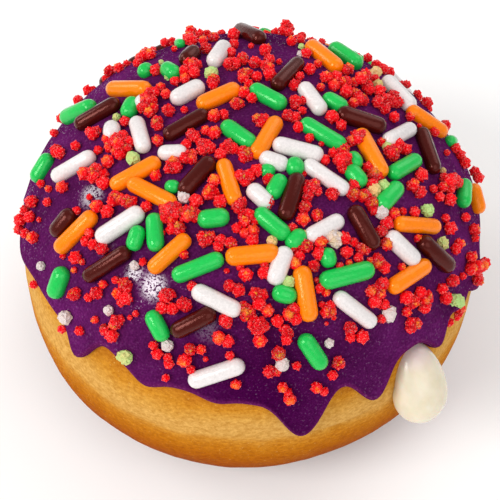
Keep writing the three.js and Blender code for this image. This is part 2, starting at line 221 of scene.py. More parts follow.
def closedGrid(rings):
    # rings[row, step] of points from top to bottom: quads between rings, fans to both poles
    rows, steps = rings.shape[:2]
    step = np.arange(steps)
    following = (step + 1) % steps
    row = np.arange(rows - 1)[:, None] * steps
    quads = np.stack([row + step, row + steps + step, row + steps + following, row + following], axis=-1)
    top, bottom = rows * steps, rows * steps + 1
    last = (rows - 1) * steps
    topFan = np.stack([np.full(steps, top), step, following], axis=-1)
    bottomFan = np.stack([np.full(steps, bottom), last + following, last + step], axis=-1)
    points = np.vstack([rings.reshape(-1, 3), rings[0].mean(0), rings[-1].mean(0)])
    return points, [quads.reshape(-1, 4), topFan, bottomFan]


def setAttribute(piece, name, values):
    attribute = piece.data.attributes.new(name, "FLOAT", "POINT")
    attribute.data.foreach_set("value", np.asarray(values, dtype=np.float32))


def newMaterial(name, roughness, **sockets):
    material = bpy.data.materials.new(name)
    material.use_nodes = True
    shader = material.node_tree.nodes["Principled BSDF"]
    shader.inputs["Roughness"].default_value = roughness
    for socket, value in sockets.items():
        shader.inputs[socket.replace("_", " ")].default_value = value
    return material


def addNode(material, kind, **values):
    node = material.node_tree.nodes.new(kind)
    for name, value in values.items():
        if name in node.inputs:
            node.inputs[name].default_value = value
        else:
            setattr(node, name, value)
    return node


def link(material, source, target):
    material.node_tree.links.new(source, target)


def addNoise(material, scale, detail, roughness):
    place = addNode(material, "ShaderNodeTexCoord")
    noise = addNode(material, "ShaderNodeTexNoise", Scale=scale, Detail=detail, Roughness=roughness)
    link(material, place.outputs["Object"], noise.inputs["Vector"])
    return noise.outputs["Fac"]


def addRamp(material, source, stops):
    ramp = addNode(material, "ShaderNodeValToRGB")
    elements = ramp.color_ramp.elements
    while len(elements) < len(stops):
        elements.new(0.5)
    for element, (place, color) in zip(elements, stops):
        element.position, element.color = place, (*color, 1)
    link(material, source, ramp.inputs["Fac"])
    return ramp.outputs["Color"]


def addMix(material, factor, first, second, blend="MIX"):
    mix = addNode(material, "ShaderNodeMix", data_type="RGBA", blend_type=blend)
    for source, target in ((factor, mix.inputs[0]), (first, mix.inputs[6]), (second, mix.inputs[7])):
        if isinstance(source, (int, float)):
            target.default_value = source
        elif isinstance(source, tuple):
            target.default_value = (*source, 1)
        else:
            link(material, source, target)
    return mix.outputs[2]


def addBump(material, height, strength, distance):
    bump = addNode(material, "ShaderNodeBump", Strength=strength, Distance=distance * mm)
    link(material, height, bump.inputs["Height"])
    shader = material.node_tree.nodes["Principled BSDF"]
    link(material, bump.outputs["Normal"], shader.inputs["Normal"])


def setColor(material, source):
    link(material, source, material.node_tree.nodes["Principled BSDF"].inputs["Base Color"])


dough = {
    "steps": 360, "rows": 190,
    "lumps": ((7.0, 0.12), (2.6, 0.05), (0.9, 0.018)),  # cell and height of the unevenness, mm
    "flatFoot": 1.5,  # the unevenness fades out below this height
    # a fine crease under the icing at the front right, and a slight swelling along the waist
    "creaseHeight": 13.8, "creaseDepth": 0.22, "creaseWidth": 0.26,
    "creaseAzimuth": -68.0, "creaseReach": 11.0,
    "bandHeight": 15.3, "bandRise": 0.1, "bandWidth": 1.4,
    "toneTilt": -1.2, "toneTiltAzimuth": -30.0, "crownTone": 20.0,
    # colour against height in mm, from the foot up to under the icing; darker towards the foot partly by
    # browning and partly as painted shade, and the last stop is painted shade under the icing's edge
    "tones": (
        (0.0, (0.12, 0.012, 0.0002)), (5.3, (0.22, 0.034, 0.0004)), (9.3, (0.36, 0.080, 0.001)),
        (11.3, (0.43, 0.125, 0.002)), (13.1, (0.515, 0.185, 0.009)), (14.2, (0.56, 0.24, 0.026)),
        (15.0, (0.62, 0.33, 0.075)), (16.3, (0.62, 0.335, 0.080)), (17.5, (0.60, 0.30, 0.052)),
        (18.6, (0.57, 0.24, 0.021)), (20.5, (0.42, 0.12, 0.007)),
    ),
    "toneSways": ((4.0, 0.65), (1.3, 0.39)),  # cell and height of the tones' unevenness
    "roughness": 0.6, "shine": 0.01,
    # cells to a metre, a little longer than high, and the factors on the colour that they give
    "grain": 2100.0, "grainStretch": 1.4, "grainDark": (0.76, 0.64, 0.44), "grainPale": (1.16, 1.22, 1.36),
    "specks": 4200.0, "speck": (0.72, 0.47, 0.15), "speckShare": (0.38, 0.38, 0.38),
}


def makeDoughMaterial():
    material = newMaterial("friedDough", dough["roughness"], Specular_IOR_Level=dough["shine"])
    # the tone attribute holds browning together with painted shade near the foot and under the icing
    attribute = addNode(material, "ShaderNodeAttribute", attribute_name="bakeAndShade")
    top = dough["tones"][-1][0]
    stops = [(height / top, tone) for height, tone in dough["tones"]]
    color = addRamp(material, attribute.outputs["Fac"], stops)
    place = addNode(material, "ShaderNodeTexCoord")
    stretch = addNode(material, "ShaderNodeMapping", Scale=(1, 1, dough["grainStretch"]))
    link(material, place.outputs["Object"], stretch.inputs["Vector"])
    grain = addNode(material, "ShaderNodeTexNoise", Scale=dough["grain"], Detail=5.0, Roughness=0.75)
    link(material, stretch.outputs["Vector"], grain.inputs["Vector"])
    shades = ((0.34, dough["grainDark"]), (0.66, dough["grainPale"]))
    mottle = addRamp(material, grain.outputs["Fac"], shades)
    color = addMix(material, 1.0, color, mottle, "MULTIPLY")
    dots = addNoise(material, dough["specks"], 2.0, 0.5)
    specks = addRamp(material, dots, ((0.66, (0, 0, 0)), (0.74, dough["speckShare"])))
    setColor(material, addMix(material, specks, color, dough["speck"]))
    addBump(material, grain.outputs["Fac"], 0.6, 0.12)
    return material


def makeDough():
    # superellipse grid pushed out by smooth noise; crease and swelling are bells, exp(-x ^ 2)
    azimuth = np.linspace(0, 2 * math.pi, dough["steps"], endpoint=False)[None, :]
    slope = np.linspace(math.pi / 2 - poleGap, footSlope, dough["rows"])[:, None]
    points = skinPoints(azimuth, slope, 0.0)
    relief = unevenness(points, dough["lumps"], 3)
    above = (points[..., 2] - dough["creaseHeight"]) / dough["creaseWidth"]
    beside = (np.degrees(azimuth) - 360 - dough["creaseAzimuth"]) / dough["creaseReach"]
    relief = relief - dough["creaseDepth"] * np.exp(-(above ** 2) - beside ** 4)
    swell = (points[..., 2] - dough["bandHeight"]) / dough["bandWidth"]
    relief = relief + dough["bandRise"] * np.exp(-(swell ** 2))
    fade = np.clip(points[..., 2] / dough["flatFoot"], 0, 1)
    rings = points + (relief * fade)[..., None] * outward(points)
    rings[..., 2] = np.maximum(rings[..., 2], 0)
    verts, faces = closedGrid(rings)
    piece = addPiece("doughBall", verts, faces, makeDoughMaterial())
    # tone by height: browning, plus painted shade towards the foot and just under the icing's edge
    tone = points[..., 2] - dough["toneTilt"] * np.cos(azimuth - math.radians(dough["toneTiltAzimuth"]))
    tone = tone + unevenness(points, dough["toneSways"], 11)
    top = dough["tones"][-1][0]
    setAttribute(piece, "bakeAndShade", np.append(tone.ravel(), [dough["crownTone"], 0.0]) / top)
    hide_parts("dough")


icing = {
    "skin": 0.78, "lip": 1.0, "level": 19.8, "under": -0.12,
    "steps": 480, "outerRows": 130, "innerRows": 6, "crowding": 1.5,
    # azimuth, depth and half width of each drip, as on the solid
    "drips": (
        (-169, 1.7, 9), (-134.4, 2.4, 3.7), (-128, -1.0, 6.9), (-115, 0.8, 4), (-97.5, 0.8, 4.9),
        (-89.3, 0.6, 4.6), (-77.9, 5.3, 6.2), (-59.4, 3.6, 4.9), (-38.6, 2.5, 3.8), (-26.9, 1.3, 4.8),
        (-16.4, 3.3, 4.1), (-5, 1.3, 45), (11, 2.0, 5), (44, 3.9, 6.2), (61, 1.3, 5.6),
        (79, 2.9, 5.5), (97, -0.7, 6.5), (112, 3.8, 5.8), (131, 1.1, 6.5), (149, 2.7, 5.4), (171, 3.0, 6),
    ),
    # the rounded rim along the edge, the hollow inside it, and the thicker noses of the drips
    "bead": 0.13, "beadAt": 0.9, "beadWidth": 0.55, "hollow": 0.07, "hollowAt": 1.7,
    "nose": 0.12, "noseLength": 1.9, "noseDepth": 5.0,
    "tuck": 0.25,  # how much deeper the inner face lies behind the edge
    "lumps": ((6.0, 0.07), (2.2, 0.03)),
    # the rim colour is a painted reflection along the icing's edge, and its width is that band's width
    "dark": (0.066, 0.006, 0.057), "purple": (0.125, 0.011, 0.113), "rimReflection": (0.115, 0.010, 0.080),
    # painted shade in the middle of the front: colour, and across, down and radius on the square
    "frontShade": (0.044, 0.001, 0.040), "frontShadePlace": (26.0, 40.0, 9.5),
    "rimReflectionWidth": 1.0, "roughness": 0.24, "coatRoughness": 0.12,
    # how strongly the plain icing mirrors the light, and the fine sugar specks in it; there are
    # more of them in a few patches: across, down and radius on the square
    "sheen": 0.0, "speckSheen": 0.4, "patchSheen": 1.0,
    "patches": (
        (9.2, 19.5, 1.1), (15.3, 28.6, 1.1), (13.4, 27.2, 0.8), (20.8, 33.0, 1.0), (10.6, 24.6, 0.8),
    ),
    # cells to a metre: the clouds in the colour, and the fine grain
    "clouds": 160.0, "grain": 5200.0, "dustDark": (0.78, 0.78, 0.78), "dustPale": (1.3, 1.5, 1.3),
}


def dripShare(azimuth):
    # for every drip a bell, depth * exp(-(away / half width) ^ 2)
    turned = np.degrees(np.asarray(azimuth, float))
    shares = []
    for place, down, halfWidth in icing["drips"]:
        away = (turned - place + 180) % 360 - 180
        shares.append(down * np.exp(-((away / halfWidth) ** 2)))
    return np.array(shares)


def edgeHeight(azimuth):
    return icing["level"] - dripShare(azimuth).sum(0)


def edgeSlope(azimuth):
    return np.arcsin(((edgeHeight(azimuth) - waist) / body["rise"]) ** (body["risePower"] / 2))


def makeIcingMaterial():
    material = newMaterial("purpleIcing", icing["roughness"], Coat_Roughness=icing["coatRoughness"])
    edge = addNode(material, "ShaderNodeAttribute", attribute_name="edge")
    clouds = addNoise(material, icing["clouds"], 4.0, 0.6)
    base = addRamp(material, clouds, ((0.35, icing["dark"]), (0.7, icing["purple"])))
    grain = addNoise(material, icing["grain"], 2.0, 0.6)
    dust = addRamp(material, grain, ((0.35, icing["dustDark"]), (0.66, icing["dustPale"])))
    # painted shade in the middle of the front
    frontShade = addNode(material, "ShaderNodeAttribute", attribute_name="frontShade")
    base = addMix(material, frontShade.outputs["Fac"], base, icing["frontShade"])
    # painted reflection along the rim, where the edge attribute is high
    base = addMix(material, edge.outputs["Fac"], base, icing["rimReflection"])
    setColor(material, addMix(material, 1.0, base, dust, "MULTIPLY"))
    plain = addRamp(material, grain, ((0.64, (icing["sheen"],) * 3), (0.70, (icing["speckSheen"],) * 3)))
    dense = addRamp(material, grain, ((0.42, (icing["sheen"],) * 3), (0.50, (icing["patchSheen"],) * 3)))
    patch = addNode(material, "ShaderNodeAttribute", attribute_name="patch")
    sheen = addMix(material, patch.outputs["Fac"], plain, dense)
    for socket in ("Specular IOR Level", "Coat Weight"):
        link(material, sheen, material.node_tree.nodes["Principled BSDF"].inputs[socket])
    addBump(material, grain, 0.5, 0.03)
    return material


def awayFrom(points, places):
    # distance of each point from each seen place, as a share of the place's radius
    across, down, radius = np.array(places).T
    centres = seenPoints(across, down, icing["skin"])
    return np.linalg.norm(points[:, None] - centres, axis=-1) / radius


def makeIcing():
    # out over the crown on the grown skin, round a quarter-ellipse lip, and back under the edge
    azimuth = np.linspace(0, 2 * math.pi, icing["steps"], endpoint=False)[None, :]
    edge = edgeSlope(azimuth)
    share = 1 - np.linspace(1, 0, icing["outerRows"])[:, None] ** icing["crowding"]
    crown = math.pi / 2 - poleGap
    slope = crown - share * (crown - edge)
    fromEdge = (slope - edge) * body["radius"]
    lip = np.sqrt(1 - (1 - np.minimum(fromEdge / icing["lip"], 1)) ** 2)
    flat = skinPoints(azimuth, slope, 0.0)
    full = icing["skin"] - icing["under"]
    full = full + unevenness(flat, icing["lumps"], 21)
    full = full + icing["bead"] * np.exp(-(((fromEdge - icing["beadAt"]) / icing["beadWidth"]) ** 2))
    full = full - icing["hollow"] * np.exp(-(((fromEdge - icing["hollowAt"]) / icing["beadWidth"]) ** 2))
    noses = np.maximum(dripShare(azimuth), 0).sum(0) / icing["noseDepth"]
    full = full + icing["nose"] * noses * np.exp(-((fromEdge / icing["noseLength"]) ** 2))
    outer = skinPoints(azimuth, slope, icing["under"] + full * lip)
    back = np.linspace(0, 1, icing["innerRows"] + 1)[1:, None]
    tuck = icing["tuck"] * np.minimum(back * 4, 1)
    inner = skinPoints(azimuth, edge + back * (crown - edge), icing["under"] - tuck)
    verts, faces = closedGrid(np.vstack([outer, inner]))
    piece = addPiece("icingCoat", verts, faces, makeIcingMaterial())
    # painted reflection along the rim: full at the edge, gone past the band's width
    rimReflection = np.vstack([np.exp(-((fromEdge / icing["rimReflectionWidth"]) ** 8)), np.zeros(inner.shape[:2])])
    setAttribute(piece, "edge", np.append(rimReflection.ravel(), [0.0, 0.0]))
    setAttribute(piece, "patch", np.exp(-(awayFrom(verts, icing["patches"]) ** 4)).max(1))
    # painted shade in the middle of the front, fading with distance from its place
    setAttribute(piece, "frontShade", np.exp(-(awayFrom(verts, [icing["frontShadePlace"]]) ** 2)).max(1))
    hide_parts("icing")


cream = {
    "mouthAzimuth": -45.8, "mouthRadius": 21.0, "mouthHeight": 18.9,
    "endAzimuth": -49.4, "endRadius": 23.5, "endHeight": 11.9,
    "bow": 0.95, "width": 5.0, "widest": 0.6, "taper": 0.4, "steps": 120, "rows": 90,
    "color": (0.73, 0.66, 0.51), "shade": (0.62, 0.51, 0.31), "top": (0.66, 0.52, 0.50), "roughness": 0.25,
    "coat": 0.3, "milkiness": 0.25, "milkDepth": 0.002,  # light that soaks in, and how far in metres
    "clouds": 700.0, "cloudShade": (0.94, 0.93, 0.88), "lumps": ((2.0, 0.05),),
    "tips": 0.02,  # radians short of both tips, where fans of faces close it
}


def onSide(azimuth, radius, height):
    turned = math.radians(azimuth)
    return np.array([radius * math.cos(turned), radius * math.sin(turned), height])


def makeCream():
    # level rings along a bowed line; their radius is sin ^ taper above the widest ring, an ellipse below
    material = newMaterial("cream", cream["roughness"], Subsurface_Weight=cream["milkiness"],
                           Subsurface_Scale=cream["milkDepth"], Coat_Weight=cream["coat"])
    along = addNode(material, "ShaderNodeAttribute", attribute_name="along")
    color = addRamp(material, along.outputs["Fac"], (
        (0.02, cream["top"]), (0.16, cream["color"]), (0.75, cream["color"]), (1.0, cream["shade"]),
    ))
    tint = addNoise(material, cream["clouds"], 3.0, 0.5)
    clouds = addRamp(material, tint, ((0.35, cream["cloudShade"]), (0.6, (1.0, 1.0, 1.0))))
    setColor(material, addMix(material, 1.0, color, clouds, "MULTIPLY"))
    addBump(material, tint, 0.2, 0.2)
    mouth = onSide(cream["mouthAzimuth"], cream["mouthRadius"], cream["mouthHeight"])
    end = onSide(cream["endAzimuth"], cream["endRadius"], cream["endHeight"])
    tips = cream["tips"]
    share = ((1 - np.cos(np.linspace(tips, math.pi - tips, cream["rows"]))) / 2)[:, None]
    widest = cream["widest"]
    upper = np.sin(math.pi / 2 * np.minimum(share / widest, 1)) ** cream["taper"]
    lower = np.sqrt(np.clip(1 - (np.maximum(share - widest, 0) / (1 - widest)) ** 2, 0, 1))
    radius = cream["width"] / 2 * np.where(share < widest, upper, lower)
    centre = mouth + share[..., None] * (end - mouth)
    centre = centre + cream["bow"] * np.sin(math.pi * share)[..., None] * onSide(cream["mouthAzimuth"], 1, 0)
    turn = np.linspace(0, 2 * math.pi, cream["steps"], endpoint=False)[None, :]
    ring = np.stack([np.cos(turn), np.sin(turn), np.zeros_like(turn)], axis=-1)
    rings = centre + radius[..., None] * ring
    rings = rings + unevenness(rings, cream["lumps"], 31)[..., None] * ring
    verts, faces = closedGrid(rings)
    piece = addPiece("creamDrop", verts, faces, material)
    setAttribute(piece, "along", np.append(np.repeat(share.ravel(), cream["steps"]), [0.0, 1.0]))
    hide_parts("filling")


sprinkle = {
    "radius": 0.8, "spread": 0.08, "sunk": 0.45, "longest": 5.3, "sides": 12,
    "unseen": 13, "spacing": 3.4, "halfLengths": (1.0, 1.7), "tilt": 60.0,
    "roughness": 0.15, "mottle": 0.09, "sheen": 0.6, "grain": 4600.0,
    "capBends": (18, 42, 66, 90), "capPower": 0.9,  # degrees of each ring from the tip of a cap
    "unseenColors": ("green", "white", "orange", "brown"),  # in turn
    # the sugar's own colour and the tint of its sheen
    "colors": {
        "white": ((0.74, 0.69, 0.68), (1.0, 1.0, 1.0)),
        "green": ((0.008, 0.50, 0.076), (0.6, 1.0, 0.65)),
        "orange": ((0.96, 0.215, 0.001), (1.0, 0.7, 0.4)),
        "brown": ((0.052, 0.004, 0.003), (0.75, 0.28, 0.24)),
    },
    # both ends of each one as seen on the square: across, down, across, down, and for a thin one
    # its share of the usual radius
    "white": (
        (13.5, 11.6, 14.5, 15.3), (11.2, 12.0, 11.2, 14.2), (5.2, 17.9, 9.5, 15.4),
        (17.1, 10.1, 20.4, 8.4), (21.0, 6.7, 22.8, 4.1), (30.1, 8.3, 32.4, 11.4),
        (27.3, 14.3, 32.3, 15.6), (26.0, 15.6, 28.8, 16.6), (30.4, 16.2, 34.8, 19.2),
        (38.3, 7.7, 41.4, 11.0), (38.3, 14.3, 41.6, 12.6), (30.6, 23.8, 34.3, 21.8),
        (24.9, 18.6, 27.1, 20.6), (38.7, 23.3, 41.8, 26.3), (33.5, 29.4, 37.5, 32.5),
        (27.3, 28.4, 28.7, 24.7), (19.3, 28.9, 24.0, 31.2), (18.9, 38.2, 24.4, 36.4),
        (9.7, 24.0, 14.3, 21.0), (15.8, 15.3, 18.7, 15.2), (27.7, 13.1, 29.5, 13.4),
        (13.7, 10.9, 14.8, 9.6),
    ),
    "green": (
        (6.0, 12.0, 9.7, 10.4), (12.5, 11.8, 13.6, 9.7), (3.4, 18.2, 5.1, 15.4),
        (16.1, 6.5, 18.0, 7.7), (32.9, 4.5, 36.2, 6.7), (25.0, 8.7, 28.6, 10.6),
        (22.2, 12.3, 25.5, 14.6), (30.1, 12.1, 34.5, 14.7), (38.8, 17.6, 42.1, 15.7),
        (37.8, 20.9, 40.1, 18.3), (46.5, 17.8, 46.3, 20.8), (25.6, 21.0, 28.8, 23.7),
        (32.0, 28.2, 37.4, 26.8), (17.3, 27.7, 22.3, 25.7), (5.3, 29.8, 6.4, 26.7),
        (15.0, 31.1, 16.5, 34.0), (30.2, 33.5, 32.4, 36.8), (15.4, 21.3, 15.6, 25.1),
        (19.8, 22.0, 22.9, 21.6), (27.3, 29.1, 29.6, 29.7), (28.3, 17.5, 27.0, 19.8),
        (34.8, 16.6, 36.4, 18.6), (13.2, 25.0, 14.0, 22.6), (28.8, 24.7, 30.4, 23.1),
        (32.6, 24.8, 33.0, 26.7), (13.9, 7.6, 15.2, 6.5), (29.4, 15.7, 29.6, 17.6),
        (35.0, 15.2, 35.8, 16.9), (32.3, 9.6, 34.7, 10.9), (17.4, 4.2, 18.6, 4.5, 0.6),
        (26.0, 17.0, 27.5, 17.1, 0.85), (44.4, 14.0, 45.8, 14.2, 0.75), (16.5, 18.6, 18.0, 18.7, 0.85),
    ),
    "orange": (
        (10.2, 8.9, 15.6, 8.9), (11.1, 18.7, 16.0, 16.0), (12.8, 18.1, 17.6, 20.5),
        (19.7, 10.6, 24.0, 8.7), (30.6, 4.2, 34.2, 7.1), (25.4, 15.8, 27.9, 11.7),
        (35.8, 12.9, 38.4, 17.7), (40.7, 10.8, 44.7, 13.5), (47.2, 18.3, 48.0, 21.4),
        (39.3, 22.3, 44.1, 22.7), (38.8, 29.0, 43.0, 26.2), (30.1, 26.6, 31.0, 32.1),
        (22.6, 25.7, 27.9, 25.2), (15.0, 27.1, 18.9, 23.6), (5.6, 25.2, 9.6, 21.2),
        (22.2, 15.9, 23.6, 20.5),
    ),
    "brown": (
        (7.5, 12.7, 12.0, 10.1), (16.4, 13.7, 20.8, 11.2), (18.1, 19.4, 21.3, 15.8),
        (18.1, 6.5, 19.9, 4.7), (23.1, 2.6, 26.9, 4.3), (27.2, 9.0, 30.3, 5.8),
        (29.9, 17.3, 28.4, 22.0), (33.7, 11.2, 38.6, 12.8), (42.0, 12.7, 43.6, 17.4),
        (35.2, 20.6, 37.6, 24.9), (41.9, 23.8, 45.3, 27.0), (8.4, 27.9, 13.0, 24.9),
        (17.2, 33.3, 21.5, 31.1), (5.3, 23.6, 7.4, 21.0),
    ),
}
draws = {"seed": 5}
# places out of sight: how many are tried, lowest sine of the slope, degrees clear of the edge
thrown = {"tries": 4000, "lowest": 0.3, "edgeMargin": 3.0}


def draw(low, high):
    # the same small generator as on the solid, so that both get the same layout
    draws["seed"] = (draws["seed"] * 1664525 + 1013904223) % 4294967296
    return low + (high - low) * (draws["seed"] / 4294967296)


def layDown(start, end, radius):
    # middle and half axis between two points, no longer than a sprinkle can be
    half = (end - start) / 2
    length = np.linalg.norm(half, axis=-1, keepdims=True)
    longest = sprinkle["longest"] / 2 - np.asarray(radius)[..., None]
    return (start + end) / 2, half * np.minimum(1, longest / length)


def unseenPlaces(count, spacing, grow, taken):
    # random points of the icing that the eye doesn't see, each clear of those already there
    places = []
    for _ in range(thrown["tries"]):
        if len(places) == count:
            break
        azimuth = draw(-math.pi, math.pi)
        slope = math.asin(draw(thrown["lowest"], 1))
        point = skinPoints(azimuth, slope, grow)
        toEye = eyePoint - point
        hidden = outward(point) @ toEye / np.linalg.norm(toEye) < eye["beyondRim"]
        apart = np.linalg.norm(np.array([*taken, *places]) - point, axis=-1).min() > spacing
        if slope > edgeSlope(azimuth) + math.radians(thrown["edgeMargin"]) and apart and hidden:
            places.append(point)
    return places


def tangentAt(point):
    # a level direction along the skin, turned a little round the normal
    turn = math.radians(draw(-sprinkle["tilt"], sprinkle["tilt"]))
    normal = outward(point)
    sideways = unit(np.array([-normal[1], normal[0], 0.0]))
    return sideways * math.cos(turn) + np.cross(normal, sideways) * math.sin(turn)


def layOutSprinkles():
    # for each colour: middles, half axes and radii
    layout, middles = {}, []
    for color in ("white", "green", "orange", "brown"):
        ends = np.array([row[:4] for row in sprinkle[color]])
        thickness = [row[4] if len(row) > 4 else 1 for row in sprinkle[color]]
        spread = [draw(1 - sprinkle["spread"], 1 + sprinkle["spread"]) for _ in ends]
        radius = sprinkle["radius"] * np.array(thickness) * np.array(spread)
        grow = icing["skin"] + radius * (1 - sprinkle["sunk"])
        length = np.hypot(ends[:, 2] - ends[:, 0], ends[:, 3] - ends[:, 1])
        inset = np.minimum(0.5, eye["nearer"] * radius / length)
        start = [ends[:, k] + inset * (ends[:, k + 2] - ends[:, k]) for k in (0, 1)]
        end = [ends[:, k + 2] - inset * (ends[:, k + 2] - ends[:, k]) for k in (0, 1)]
        centre, half = layDown(seenPoints(*start, grow), seenPoints(*end, grow), radius)
        layout[color] = [centre, half, radius]
        middles.extend(centre)
    grow = icing["skin"] + sprinkle["radius"] * (1 - sprinkle["sunk"])
    places = unseenPlaces(sprinkle["unseen"], sprinkle["spacing"], grow, middles)
    for number, place in enumerate(places):
        half = tangentAt(place) * draw(*sprinkle["halfLengths"])
        group = layout[sprinkle["unseenColors"][number % len(sprinkle["unseenColors"])]]
        group[0] = np.vstack([group[0], place])
        group[1] = np.vstack([group[1], half])
        group[2] = np.append(group[2], sprinkle["radius"])
        middles.append(place)
    return layout, np.array(middles)


def capsules(centre, half, radius):
    # rings along each axis: straight between the caps, and radius * (sin, cos) round each cap
    length = np.linalg.norm(half, axis=-1)
    axis = half / np.maximum(length, 1e-6)[:, None]
    up = outward(centre)
    up = unit(up - (up * axis).sum(-1, keepdims=True) * axis)
    side = np.cross(axis, up)
    bend = np.radians(sprinkle["capBends"])
    capRadius, capReach = np.sin(bend) ** sprinkle["capPower"], np.cos(bend)
    ringRadius = np.concatenate([capRadius, [1.0], capRadius[::-1]])
    along = np.concatenate([-np.ones(len(bend)), [0], np.ones(len(bend))])
    past = np.concatenate([-capReach, [0], capReach[::-1]])
    turn = np.linspace(0, 2 * math.pi, sprinkle["sides"], endpoint=False)
    reach = along * length[:, None] + past * radius[:, None]
    spine = centre[:, None] + reach[..., None] * axis[:, None]
    around = np.cos(turn)[:, None] * side[:, None] + np.sin(turn)[:, None] * up[:, None]
    return spine[:, :, None] + (ringRadius * radius[:, None])[:, :, None, None] * around[:, None]


def joinGrids(grids):
    # closed grids of equal size, one after another
    parts = [closedGrid(rings) for rings in grids]
    count = len(parts[0][0])
    points = np.vstack([points for points, _ in parts])
    faces = [group + number * count for number, (_, groups) in enumerate(parts) for group in groups]
    return points, faces


def makeSprinkles(layout):
    for color, (centre, half, radius) in layout.items():
        tone, tint = (np.array(value) for value in sprinkle["colors"][color])
        material = newMaterial(color + "Sugar", sprinkle["roughness"],
                               Specular_IOR_Level=sprinkle["sheen"], Specular_Tint=(*tint, 1))
        mottle = addNoise(material, sprinkle["grain"], 3.0, 0.6)
        setColor(material, addRamp(material, mottle, (
            (0.3, tuple(tone * (1 - sprinkle["mottle"]))), (0.7, tuple(tone * (1 + sprinkle["mottle"]))),
        )))
        addBump(material, mottle, 0.5, 0.05)
        points, faces = joinGrids(capsules(centre, half, radius))
        piece = addPiece(color + "Sprinkles", points, faces, material)
        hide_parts("icing")


